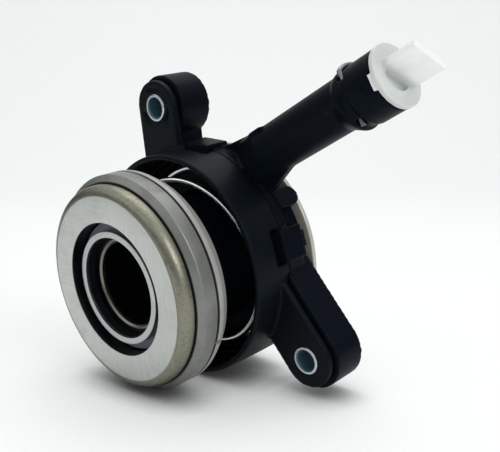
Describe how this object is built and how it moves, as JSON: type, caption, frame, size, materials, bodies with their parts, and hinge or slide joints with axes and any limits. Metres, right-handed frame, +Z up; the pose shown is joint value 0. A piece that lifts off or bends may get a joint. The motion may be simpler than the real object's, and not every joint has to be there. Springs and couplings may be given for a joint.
{
  "type": "concentric slave cylinder",
  "caption": "Clutch concentric slave cylinder: release bearing on an annular piston in a black moulded housing with bolt ears and a long capped inlet tube.",
  "frame": {"origin": "centre of the guide sleeve's bore at the rear face of its flange, which seats on the gearbox", "axes": "+Y along the bore from the bearing to the gearbox, +Z up as it lies in the picture, +X right seen from the bearing"},
  "size_m": [0.1345, 0.0575, 0.1105],
  "materials": {
    "black_moulding": "satin black glass-filled nylon",
    "cup_moulding": "satin black glass-filled nylon",
    "zinc_bush": "bright zinc plate",
    "sleeve_steel": "pressed steel, satin",
    "seal_rubber": "black rubber",
    "spring_wire": "drawn wire",
    "piston_plastic": "smooth dark plastic",
    "ring_steel": "turned steel",
    "carrier_plastic": "smooth dark blue-grey plastic",
    "race_steel": "ground steel",
    "shell_steel": "satin steel",
    "split_ring_steel": "satin steel",
    "cage_plastic": "nylon",
    "contact_steel": "ground face, as-hardened edge",
    "clip_wire": "bright wire",
    "cap_plastic": "translucent white polythene"
  },
  "bodies": {
    "housing": {"housing": "black_moulding", "spring_cup": "cup_moulding", "upper_bush": "zinc_bush", "lower_bush": "zinc_bush", "guide_sleeve": "sleeve_steel", "static_seal": "seal_rubber", "preload_spring": "spring_wire"},
    "release_piston": {"piston": "piston_plastic", "piston_lip_seal": "seal_rubber", "retaining_ring": "ring_steel", "centring_spring": "spring_wire", "bearing_carrier": "carrier_plastic", "bearing_race": "race_steel", "bearing_shell": "shell_steel", "bearing_split_ring": "split_ring_steel", "bearing_front_seal": "seal_rubber"},
    "contact_ring": {"bearing_contact_ring": "contact_steel"},
    "ball_set": {"bearing_balls": "race_steel", "bearing_cage": "cage_plastic"},
    "clip": {"connector_clip": "clip_wire"},
    "cap": {"dust_cap": "cap_plastic"}
  },
  "joints": [
    {"name": "piston_stroke", "type": "slide", "parent": "housing", "child": "release_piston", "axis": [0, 1, 0], "range_m": [0, 0.014], "stiffness_N_per_m": 2500, "springref_m": -0.02, "deforming": ["preload_spring"]},
    {"name": "contact_ring_spin", "type": "hinge", "parent": "release_piston", "child": "contact_ring", "pos_m": [0, -0.0545, 0], "axis": [0, 1, 0], "continuous": true},
    {"name": "ball_orbit", "type": "hinge", "parent": "release_piston", "child": "ball_set", "pos_m": [0, -0.0493, 0], "axis": [0, 1, 0], "continuous": true},
    {"name": "clip_lift", "type": "slide", "parent": "housing", "child": "clip", "axis": [-0.4384, 0, 0.8988], "range_m": [0, 0.0035]},
    {"name": "cap_pull", "type": "slide", "parent": "housing", "child": "cap", "axis": [0.8988, 0, 0.4384], "range_m": [0, 0.01]}
  ],
  "couplings": [
    {"joint": "ball_orbit", "follows": "contact_ring_spin", "ratio": 0.5}
  ]
}
